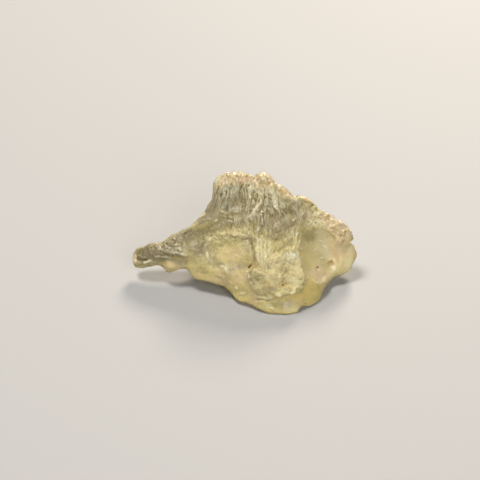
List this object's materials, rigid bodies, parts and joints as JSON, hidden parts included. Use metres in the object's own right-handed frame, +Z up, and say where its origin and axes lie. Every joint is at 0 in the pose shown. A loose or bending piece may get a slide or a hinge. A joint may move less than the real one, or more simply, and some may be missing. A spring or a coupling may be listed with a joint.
{
  "type": "raw desert glass stone",
  "caption": "Wind-worn lump of pale yellow natural glass: a leaning wedge with a round crest, a tapering tongue and a knob with a round scallop.",
  "frame": {"origin": "on the surface that the stone lies on, under the middle of its box as seen from above", "axes": "+X along the stone's length from its tongue to its scalloped knob, +Y from the sloping face to the back, +Z up"},
  "size_m": [0.05, 0.0256, 0.0223],
  "materials": {
    "desert_glass": "wind-frosted, translucent, pale straw yellow, cream on the raised edges and brown in the pits"
  },
  "bodies": {
    "root": {"desert_glass": "desert_glass"}
  },
  "joints": []
}
